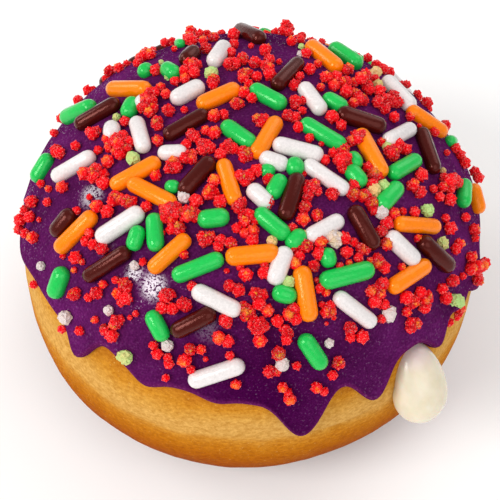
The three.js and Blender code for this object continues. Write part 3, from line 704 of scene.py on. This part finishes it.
crumb = {
    "sunk": 0.3, "nub": 1.05, "nubSpread": 0.15, "crowding": 1.3, "single": 1.2,
    # nubs of a lump: radians between one and the next, how far they reach out and how flat they lie
    "turn": 2.4, "reach": 1.05, "flatness": 0.9,
    # a lump of more nubs than this has its first ones lifted on top
    "heapFrom": 5, "heapNubs": 3, "heapLift": 0.55,
    # past the rim: how many, places tried, how far apart, where the small ones start, and the
    # degrees clear of the icing's edge, then the widths of both sorts
    "unseen": 170, "tries": 3000, "spacing": 1.4, "nearRim": -0.1, "edgeMargin": 2.0,
    "smallWidths": (0.7, 1.15), "wideWidths": (0.8, 2.8),
    # one nub: low corners and the peaks between them, as shares of its radius
    "core": 0.86, "paleCore": 0.93, "spread": 0.06, "jitter": 0.05,
    "grown": 1.15,  # factor on every radius, for what lies between the peaks
    "depthScale": 10.0,  # mm for one unit of depth
    # red of the crumbs, with painted shade between the fine pimples and a painted pink highlight on their
    # tips
    "red": (1.0, 0.011, 0.020), "redValleyShade": (0.90, 0.003, 0.010), "redTipHighlight": (1.0, 0.17, 0.16),
    "pimples": 4300.0,  # cells of the fine pimples to a metre
    # painted orange glint on the upper side of some nubs: from which sine upwards, how fast, and how much at
    # most
    "glow": (1.0, 0.36, 0.03), "glowShare": 0.3, "glowFrom": 0.78, "glowRise": 6.0, "glowMost": 0.9,
    "redRoughness": 0.25, "redSheen": 0.5, "redTint": (1.0, 0.3, 0.28),
    "soak": 0.6, "soakDepth": 0.0008,  # light that soaks into the red sugar, and how far in metres
    "paleRoughness": 0.6, "paleSheen": 0.3, "toneSpread": 0.15,
    # each lump as seen on the square: across, down, width. The wide ones are several nubs.
    "lumps": (
        # the left side
        (5.7, 13.5, 0.8), (7.8, 14.8, 0.9), (6.0, 15.4, 1.7), (9.5, 13.5, 1.8), (10.7, 11.3, 1.1),
        (12.0, 14.7, 3.3), (10.0, 15.2, 0.8), (11.0, 16.4, 1.2), (8.7, 17.6, 1.2), (10.0, 17.6, 2.2),
        (10.6, 18.5, 1.2), (11.9, 20.0, 1.9), (13.1, 20.4, 1.6), (11.0, 21.3, 1.2), (10.0, 20.8, 1.2),
        (7.9, 21.2, 0.8), (9.1, 19.8, 0.6), (6.4, 18.9, 1.4), (5.1, 19.0, 0.7), (4.4, 18.5, 0.8),
        (5.0, 20.3, 0.8), (3.7, 20.3, 1.3), (2.9, 21.1, 1.3), (3.4, 21.8, 1.1),
        (2.5, 22.1, 1.2), (2.3, 23.0, 1.0), (2.9, 23.4, 0.9), (4.1, 22.0, 0.5), (12.6, 12.4, 0.9),
        (9.2, 23.4, 0.9), (8.8, 24.2, 0.9), (9.6, 24.5, 1.0), (10.5, 24.9, 1.3), (7.9, 25.8, 1.2),
        (8.4, 26.2, 0.6), (7.6, 27.0, 0.6), (6.5, 25.6, 0.6), (3.7, 23.8, 1.1), (3.7, 28.4, 0.8),
        (7.8, 29.4, 1.5), (9.1, 29.7, 0.8), (9.9, 29.2, 1.3), (10.5, 28.4, 0.8), (11.7, 28.0, 0.7),
        (12.7, 28.5, 1.6), (12.0, 29.3, 1.0), (12.9, 29.8, 1.2), (12.3, 30.2, 0.8), (14.4, 26.2, 0.7),
        (9.7, 31.9, 0.7), (13.7, 31.3, 0.6), (13.1, 31.7, 0.5), (11.9, 32.0, 1.7), (10.7, 32.8, 1.3),
        (11.5, 33.4, 1.2), (6.5, 32.8, 0.8), (8.2, 33.0, 0.9),
        # along the top
        (11.1, 7.5, 1.3), (12.1, 7.1, 1.0), (12.8, 6.6, 0.7), (14.9, 5.8, 1.8), (13.9, 6.6, 0.9),
        (15.7, 7.4, 1.1), (16.6, 4.6, 0.9), (17.3, 4.3, 0.7), (17.5, 5.1, 0.6), (19.2, 3.5, 1.1),
        (20.0, 3.8, 1.0), (19.1, 4.4, 1.6), (20.4, 4.4, 0.9), (21.3, 4.1, 1.4), (20.6, 5.2, 1.3),
        (23.4, 3.9, 1.2), (23.4, 4.8, 1.0), (23.1, 5.6, 1.0), (23.2, 6.9, 1.6), (24.3, 6.4, 1.4),
        (24.5, 7.8, 1.8), (25.4, 6.7, 1.3), (26.6, 5.3, 1.4), (26.8, 6.2, 1.4), (26.6, 7.1, 1.6),
        (27.0, 7.9, 1.2), (25.7, 8.0, 1.0), (24.9, 8.7, 0.9), (28.5, 3.3, 2.1), (29.1, 4.5, 1.0),
        (30.0, 4.3, 0.9), (30.5, 5.7, 1.0), (27.9, 6.4, 0.6), (25.1, 4.8, 0.6), (29.9, 7.9, 0.9),
        (29.4, 8.9, 1.3), (30.9, 7.3, 1.1), (31.7, 6.7, 0.8), (32.0, 9.0, 0.8), (19.3, 6.9, 2.0),
        (18.5, 7.5, 1.1), (19.5, 7.7, 1.1), (18.6, 8.2, 1.0), (17.6, 8.4, 0.9), (21.3, 8.5, 1.7),
        (16.2, 9.0, 0.9), (15.3, 9.7, 1.6), (16.7, 9.7, 1.0), (34.5, 7.4, 1.3), (32.5, 8.1, 1.2),
        (33.5, 8.1, 1.2), (34.3, 8.5, 1.5), (33.3, 8.9, 1.1), (35.9, 8.4, 2.2), (36.6, 9.1, 1.6),
        (34.5, 9.5, 1.2), (35.5, 9.7, 1.5), (36.1, 10.3, 1.5), (35.2, 10.6, 1.0), (37.3, 8.2, 0.9),
        (37.7, 9.5, 1.2), (39.0, 9.8, 1.4), (38.6, 10.5, 1.7), (39.4, 10.6, 1.4), (37.6, 10.5, 1.3),
        (38.3, 11.2, 1.3), (39.2, 12.0, 1.0), (36.6, 6.1, 0.9), (37.4, 6.8, 0.9), (38.1, 7.3, 1.1),
        (40.5, 8.7, 0.8), (41.5, 9.6, 0.8), (42.3, 10.5, 1.3),
        # the middle, above the centre
        (15.0, 10.9, 2.4), (16.9, 11.3, 1.4), (15.8, 12.6, 1.6), (15.8, 14.2, 1.4), (18.5, 11.2, 0.7),
        (21.4, 11.9, 1.2), (22.4, 11.7, 0.9), (23.7, 10.7, 1.6), (25.2, 10.1, 1.0), (24.4, 9.6, 1.2),
        (26.0, 12.3, 1.8), (19.3, 13.8, 1.5), (20.6, 13.3, 0.9), (21.5, 13.6, 1.2), (18.7, 14.7, 1.0),
        (20.4, 14.9, 2.1), (23.0, 14.9, 2.0), (24.7, 15.6, 2.0), (22.1, 15.7, 1.1), (19.0, 16.0, 2.0),
        (17.4, 16.9, 2.0), (15.7, 17.8, 1.0), (25.7, 17.3, 1.2), (24.4, 18.0, 2.0), (21.5, 18.3, 1.2),
        (21.2, 19.4, 1.8), (22.1, 20.4, 1.2), (19.7, 20.3, 1.2), (17.3, 21.4, 2.8), (19.1, 21.6, 2.2),
        (23.9, 20.7, 1.8), (24.6, 21.9, 2.0), (26.8, 18.1, 1.3), (26.7, 20.4, 1.2), (14.8, 20.8, 1.0),
        (29.5, 10.5, 1.6), (30.2, 10.3, 0.8), (28.7, 11.8, 1.4), (29.5, 12.0, 1.0), (30.2, 11.3, 0.8),
        (29.8, 13.0, 1.0), (33.1, 12.0, 1.2), (34.0, 12.8, 1.0), (30.9, 14.0, 0.8), (32.1, 14.5, 0.5),
        (35.6, 14.2, 2.2), (34.2, 15.2, 1.6), (33.2, 15.5, 0.9), (32.4, 16.2, 0.9), (34.1, 16.6, 2.3),
        (36.6, 16.9, 1.0), (37.2, 17.7, 1.6), (37.0, 18.6, 1.1), (30.3, 17.5, 0.6), (30.9, 18.8, 2.0),
        (31.7, 19.3, 0.8), (30.6, 19.9, 1.4), (30.3, 20.9, 1.3), (33.1, 19.5, 1.3), (35.3, 18.6, 1.1),
        (35.2, 19.6, 1.5), (36.1, 19.8, 1.4), (37.0, 20.5, 1.5), (37.2, 21.2, 0.9), (31.6, 21.7, 1.4),
        (30.2, 22.1, 1.2), (29.2, 22.9, 0.9), (38.0, 14.4, 0.8),
        # the right side
        (40.8, 11.9, 0.9), (41.8, 12.7, 0.5), (43.2, 13.4, 0.9), (39.5, 14.7, 1.2), (39.1, 15.5, 2.0),
        (40.3, 15.2, 1.1), (45.2, 15.0, 1.0), (45.7, 15.7, 1.0), (46.1, 16.5, 1.1), (44.5, 15.4, 0.6),
        (47.1, 17.3, 1.0), (47.4, 17.9, 1.1), (41.8, 17.7, 1.2), (41.0, 18.7, 1.2), (41.7, 19.4, 1.3),
        (44.6, 18.4, 2.6), (43.1, 19.0, 0.8), (43.7, 19.8, 0.9), (44.6, 20.1, 1.2), (46.2, 21.8, 0.9),
        (44.3, 21.9, 0.8), (44.6, 22.9, 1.2), (39.1, 21.5, 1.1), (40.1, 21.2, 0.7), (41.2, 21.3, 1.0),
        (38.4, 22.5, 1.3), (38.0, 23.2, 1.3), (38.4, 24.5, 1.5), (47.0, 23.0, 1.3), (47.2, 23.8, 0.8),
        (45.6, 24.4, 1.0), (45.2, 24.9, 1.0), (41.6, 23.9, 0.8), (46.7, 25.7, 1.3), (47.2, 26.5, 2.4),
        (47.3, 27.8, 1.4),
        (46.0, 27.6, 0.7), (44.9, 28.0, 1.3), (43.9, 28.8, 1.0), (44.3, 29.8, 1.3), (46.4, 31.0, 1.0),
        (46.3, 31.5, 0.8), (45.5, 31.7, 0.6), (45.3, 32.3, 0.9), (40.0, 26.7, 0.7), (37.6, 26.1, 1.6),
        (38.2, 26.8, 1.1), (37.4, 29.1, 2.1), (37.9, 28.5, 1.4), (37.2, 30.1, 1.2), (38.2, 30.4, 1.0),
        (38.0, 31.8, 0.8), (40.3, 29.7, 1.2), (41.0, 30.1, 1.3), (41.7, 29.2, 1.1), (42.3, 29.8, 1.8),
        (42.1, 30.6, 1.2), (40.4, 31.1, 0.9), (41.0, 32.3, 1.8),
        # the middle, below the centre
        (16.3, 23.3, 0.6), (17.3, 23.0, 1.1), (18.0, 22.9, 1.3), (20.7, 23.9, 2.0), (22.1, 24.1, 1.0),
        (21.9, 24.7, 1.0), (23.2, 24.5, 1.3), (23.7, 22.9, 0.9), (24.5, 23.4, 1.0), (25.3, 23.2, 1.1),
        (25.2, 24.1, 1.1), (25.5, 22.1, 0.9), (18.5, 25.5, 0.8), (19.3, 28.6, 0.9), (22.7, 27.1, 0.5),
        (24.0, 26.7, 0.7), (26.4, 26.4, 0.8), (24.6, 27.5, 1.2), (26.4, 27.3, 1.1), (23.0, 28.6, 1.3),
        (23.9, 29.0, 1.4), (25.8, 29.5, 1.8), (25.9, 30.3, 1.2), (26.7, 31.0, 1.1), (24.4, 30.5, 0.8),
        (24.7, 31.2, 1.9), (16.9, 29.4, 1.6), (16.4, 30.7, 1.1), (17.4, 30.8, 1.1), (18.5, 30.4, 1.5),
        (22.6, 32.1, 1.5), (22.0, 33.6, 1.2), (22.8, 34.0, 1.1), (25.7, 32.4, 2.4), (26.0, 33.9, 1.2),
        (29.4, 24.8, 1.3), (30.4, 24.7, 1.4), (29.8, 25.7, 1.0), (29.4, 26.4, 1.2), (31.9, 24.3, 1.2),
        (31.8, 25.4, 1.2), (31.3, 26.6, 1.3), (34.3, 23.9, 1.1), (35.3, 24.3, 0.8), (34.5, 25.3, 1.1),
        (36.0, 25.0, 1.7), (35.7, 25.8, 0.9), (34.8, 26.3, 0.6), (33.9, 26.6, 0.7), (36.9, 26.1, 0.7),
        (31.6, 28.0, 0.5), (31.9, 28.8, 0.9), (32.5, 29.2, 0.8), (32.1, 30.4, 0.6), (32.9, 30.5, 0.9),
        (32.7, 31.2, 1.7), (33.3, 31.7, 0.5), (32.6, 32.3, 0.4), (34.8, 32.6, 1.3), (34.9, 33.6, 0.9),
        (36.0, 33.5, 1.2), (29.3, 30.9, 1.2), (28.8, 31.3, 1.2), (29.4, 31.7, 1.2), (27.7, 32.0, 1.1),
        (28.5, 32.9, 1.3), (28.6, 33.8, 1.0), (29.0, 33.3, 0.6),
        # the lower front
        (15.5, 34.4, 0.8), (15.9, 35.2, 1.0), (16.9, 35.6, 0.8), (17.0, 36.2, 0.9), (16.7, 37.6, 0.7),
        (19.1, 34.7, 1.3), (18.6, 35.8, 1.2), (20.2, 34.8, 0.9), (20.6, 35.8, 0.5), (19.2, 36.8, 0.8),
        (23.0, 35.4, 0.8), (23.6, 38.2, 0.9), (27.8, 35.2, 1.3), (26.9, 36.9, 1.3), (27.6, 36.9, 0.9),
        (29.6, 36.4, 0.8), (28.2, 38.5, 0.9), (28.7, 39.0, 0.8), (28.9, 39.6, 1.1), (31.5, 38.5, 1.0),
        (32.3, 38.9, 0.8), (33.1, 37.3, 0.9), (33.7, 36.1, 1.3),
    ),
    # the odd ones, with a fourth number: 0 white, 0.5 tan, 1 pale green
    "pale": (
        (4.4, 26.6, 0.8, 0.0), (6.9, 31.6, 1.2, 0.1), (11.1, 31.0, 0.9, 0.0), (13.6, 26.6, 0.8, 0.0),
        (12.7, 35.4, 1.7, 0.8), (18.5, 19.9, 1.1, 0.0), (16.9, 34.4, 1.0, 0.0), (28.2, 36.1, 1.4, 0.0),
        (32.8, 34.2, 0.8, 0.0), (38.6, 31.3, 1.6, 0.0), (37.9, 21.4, 1.2, 0.0), (33.4, 24.0, 2.0, 0.2),
        (28.8, 28.2, 1.1, 0.9), (38.1, 18.8, 1.3, 0.8), (37.2, 19.2, 1.2, 0.5), (38.5, 14.9, 0.9, 0.8),
        (44.1, 17.2, 0.6, 0.5), (42.3, 21.1, 1.4, 1.0), (43.9, 24.4, 1.1, 0.7), (45.3, 29.9, 1.7, 0.9),
        (27.2, 24.2, 0.9, 0.5), (30.6, 23.6, 0.9, 0.5), (11.8, 11.9, 0.7, 0.8), (13.5, 16.1, 1.2, 0.8),
        (16.2, 6.4, 0.5, 0.8), (18.8, 4.0, 0.8, 0.8), (16.9, 7.9, 0.7, 1.0), (21.2, 7.7, 1.2, 0.8),
        (30.1, 4.9, 0.6, 0.9), (30.0, 5.6, 0.6, 0.0), (37.3, 7.7, 1.2, 0.5), (37.6, 8.8, 1.0, 0.6),
    ),
    "white": (0.68, 0.58, 0.56), "tan": (0.78, 0.50, 0.20), "paleGreen": (0.45, 0.66, 0.22),
}


def spikyBall():
    # the 12 corners of an icosahedron and a peak over each of its 20 faces, so 60 small faces
    golden = (1 + math.sqrt(5)) / 2
    corners = np.array([
        (-1, golden, 0), (1, golden, 0), (-1, -golden, 0), (1, -golden, 0),
        (0, -1, golden), (0, 1, golden), (0, -1, -golden), (0, 1, -golden),
        (golden, 0, -1), (golden, 0, 1), (-golden, 0, -1), (-golden, 0, 1),
    ]) / math.hypot(1, golden)
    triangles = np.array([
        (0, 11, 5), (0, 5, 1), (0, 1, 7), (0, 7, 10), (0, 10, 11), (1, 5, 9), (5, 11, 4),
        (11, 10, 2), (10, 7, 6), (7, 1, 8), (3, 9, 4), (3, 4, 2), (3, 2, 6), (3, 6, 8),
        (3, 8, 9), (4, 9, 5), (2, 4, 11), (6, 2, 10), (8, 6, 7), (9, 8, 1),
    ])
    peaks = unit(corners[triangles].mean(1))
    peak = len(corners) + np.arange(len(peaks))
    sides = [np.stack([triangles[:, k], triangles[:, (k + 1) % 3], peak], axis=-1) for k in range(3)]
    return corners, peaks, np.vstack(sides)


def nubsOfLumps(rows, rng):
    # a lump of a given width has about (width / nub) ^ 2 nubs on a sunflower spiral
    rows = np.asarray(rows, float)
    width = rows[:, 2]
    nubs = np.rint(crumb["crowding"] * (width / crumb["nub"]) ** 2)
    count = np.where(width > crumb["single"], nubs, 1).astype(int)
    lump = np.repeat(np.arange(len(rows)), count)
    number = np.arange(len(lump)) - np.repeat(np.cumsum(count) - count, count)
    share = np.sqrt(number / np.maximum(count[lump] - 1, 1))
    away = (width[lump] - crumb["nub"]) / 2 * share * crumb["reach"]
    turn = crumb["turn"] * number + rng.uniform(0, 2 * math.pi, len(rows))[lump]
    low, high = 1 - crumb["nubSpread"], 1 + crumb["nubSpread"]
    size = np.where(count[lump] > 1, crumb["nub"] * rng.uniform(low, high, len(lump)), width[lump])
    heaped = (count[lump] > crumb["heapFrom"]) & (number < crumb["heapNubs"])
    heap = np.where(heaped, crumb["heapLift"], 0.0)
    return lump, away * np.cos(turn), away * np.sin(turn), crumb["grown"] * size / 2, heap


def onIcingOrDough(points, lift):
    # what lies below the icing's edge comes in by the icing's thickness
    below = points[..., 2] < edgeHeight(np.arctan2(points[..., 1], points[..., 0]))
    return points + np.where(below, lift - icing["skin"], lift)[..., None] * outward(points)


def placeSeen(rows, rng):
    rows = np.asarray(rows, float)
    lump, across, down, radius, heap = nubsOfLumps(rows, rng)
    points = seenPoints(rows[lump, 0] + across, rows[lump, 1] + down * crumb["flatness"], icing["skin"])
    return lump, onIcingOrDough(points, radius * (1 - crumb["sunk"]) + heap), radius


def placeUnseen(rng, taken):
    # lumps of random width on the part of the icing that the eye doesn't see
    tries = crumb["tries"]
    azimuth, height = rng.uniform(-math.pi, math.pi, tries), rng.uniform(thrown["lowest"], 1, tries)
    slope = np.arcsin(height)
    points = skinPoints(azimuth, slope, icing["skin"])
    toEye = eyePoint - points
    facing = (outward(points) * toEye).sum(-1) / np.linalg.norm(toEye, axis=-1)
    good = (facing < crumb["nearRim"]) & (slope > edgeSlope(azimuth) + math.radians(crumb["edgeMargin"]))
    small, wide = (rng.uniform(*crumb[widths], tries) for widths in ("smallWidths", "wideWidths"))
    width = np.where(facing < eye["beyondRim"], wide, small)
    places, chosen = [], []
    for point, across in zip(points[good], width[good]):
        if len(places) == crumb["unseen"]:
            break
        if np.linalg.norm(np.array([*taken, *places]) - point, axis=-1).min() > crumb["spacing"]:
            places.append(point)
            chosen.append(across)
    places = np.array(places)
    rows = np.stack([places[:, 0], places[:, 1], chosen], axis=-1)
    lump, across, down, radius, heap = nubsOfLumps(rows, rng)
    normal = outward(places[lump])
    side = levelSide(normal)
    points = places[lump] + across[:, None] * side + down[:, None] * np.cross(normal, side)
    # back onto the skin: near it, the depth times about half the radius is the distance
    points = points - (depthOf(points, icing["skin"]) * crumb["depthScale"])[:, None] * normal
    return points + (radius * (1 - crumb["sunk"]) + heap)[:, None] * normal, radius


def levelSide(normal):
    # level direction across each normal: (-y, x, 0) made one long
    return unit(np.stack([-normal[:, 1], normal[:, 0], np.zeros(len(normal))], axis=-1))


def spikyMesh(centres, radii, rng, core):
    # each ball is turned at random, and its corners and peaks are shifted a little
    corners, peaks, faces = spikyBall()
    count = len(centres)
    ways = np.vstack([corners * core, peaks])
    local = ways * rng.uniform(1 - crumb["spread"], 1 + crumb["spread"], (count, len(ways), 1))
    local = local + rng.normal(0, crumb["jitter"], local.shape)
    first = unit(rng.normal(size=(count, 3)))
    second = unit(np.cross(first, rng.normal(size=(count, 3))))
    axes = np.stack([first, second, np.cross(first, second)], axis=1)
    offsets = np.einsum("nkj,nji->nki", local, axes)
    points = centres[:, None] + radii[:, None, None] * offsets
    up = (offsets * outward(centres)[:, None]).sum(-1)
    start = (np.arange(count) * len(ways))[:, None, None]
    return points, up, (faces + start).reshape(-1, 3)


def addPimples(material, strength, height):
    # brightness 1 in the middle of each cell of a scattered pattern, falling to 0 between cells
    place = addNode(material, "ShaderNodeTexCoord")
    cells = addNode(material, "ShaderNodeTexVoronoi", Scale=crumb["pimples"])
    link(material, place.outputs["Object"], cells.inputs["Vector"])
    pimples = addRamp(material, cells.outputs["Distance"], ((0.15, (1, 1, 1)), (0.72, (0, 0, 0))))
    addBump(material, pimples, strength, height)
    return pimples


def makeRedCrumbs(taken):
    rng = np.random.default_rng(8)
    seen = placeSeen(crumb["lumps"], rng)
    unseen = placeUnseen(rng, taken)
    centres, radii = np.vstack([seen[1], unseen[0]]), np.concatenate([seen[2], unseen[1]])
    print(len(centres), "nubs of crumb")
    glows = rng.uniform(0, 1, len(centres)) < crumb["glowShare"]
    points, up, faces = spikyMesh(centres, radii, rng, crumb["core"])
    material = newMaterial("redCrumb", crumb["redRoughness"], Specular_IOR_Level=crumb["redSheen"],
                           Specular_Tint=(*crumb["redTint"], 1),
                           Subsurface_Weight=crumb["soak"], Subsurface_Scale=crumb["soakDepth"])
    pimples = addPimples(material, 0.6, 0.1)
    glow = addNode(material, "ShaderNodeAttribute", attribute_name="glow")
    # painted shade between the pimples and a painted pink highlight on their tips
    red = addRamp(material, pimples, (
        (0.15, crumb["redValleyShade"]), (0.55, crumb["red"]), (1.0, crumb["redTipHighlight"]),
    ))
    setColor(material, addMix(material, glow.outputs["Fac"], red, crumb["glow"]))
    piece = addPiece("redCrumbs", points.reshape(-1, 3), [faces], material, False)
    # painted orange glint where a nub faces up
    glowing = np.clip((up - crumb["glowFrom"]) * crumb["glowRise"], 0, crumb["glowMost"])
    setAttribute(piece, "glow", (glowing * glows[:, None]).ravel())
    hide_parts("icing")


def makePaleCrumbs():
    rng = np.random.default_rng(9)
    lump, centres, radii = placeSeen(crumb["pale"], rng)
    points, _, faces = spikyMesh(centres, radii, rng, crumb["paleCore"])
    material = newMaterial("paleCrumb", crumb["paleRoughness"],
                           Specular_IOR_Level=crumb["paleSheen"])
    tone = addNode(material, "ShaderNodeAttribute", attribute_name="tone")
    setColor(material, addRamp(material, tone.outputs["Fac"], (
        (0.1, crumb["white"]), (0.5, crumb["tan"]), (0.9, crumb["paleGreen"]),
    )))
    addPimples(material, 0.5, 0.1)
    piece = addPiece("paleCrumbs", points.reshape(-1, 3), [faces], material, False)
    spread = rng.uniform(-crumb["toneSpread"], crumb["toneSpread"], points.shape[:2])
    tones = np.array(crumb["pale"])[lump, 3][:, None] + spread
    setAttribute(piece, "tone", np.clip(tones, 0, 1).ravel())
    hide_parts("icing")


addCamera()
addStudio()
print("studio ready")
makeDough()
makeIcing()
makeCream()
layout, sprinkleMiddles = layOutSprinkles()
makeSprinkles(layout)
makeRedCrumbs(sprinkleMiddles)
makePaleCrumbs()
print("all pieces made")
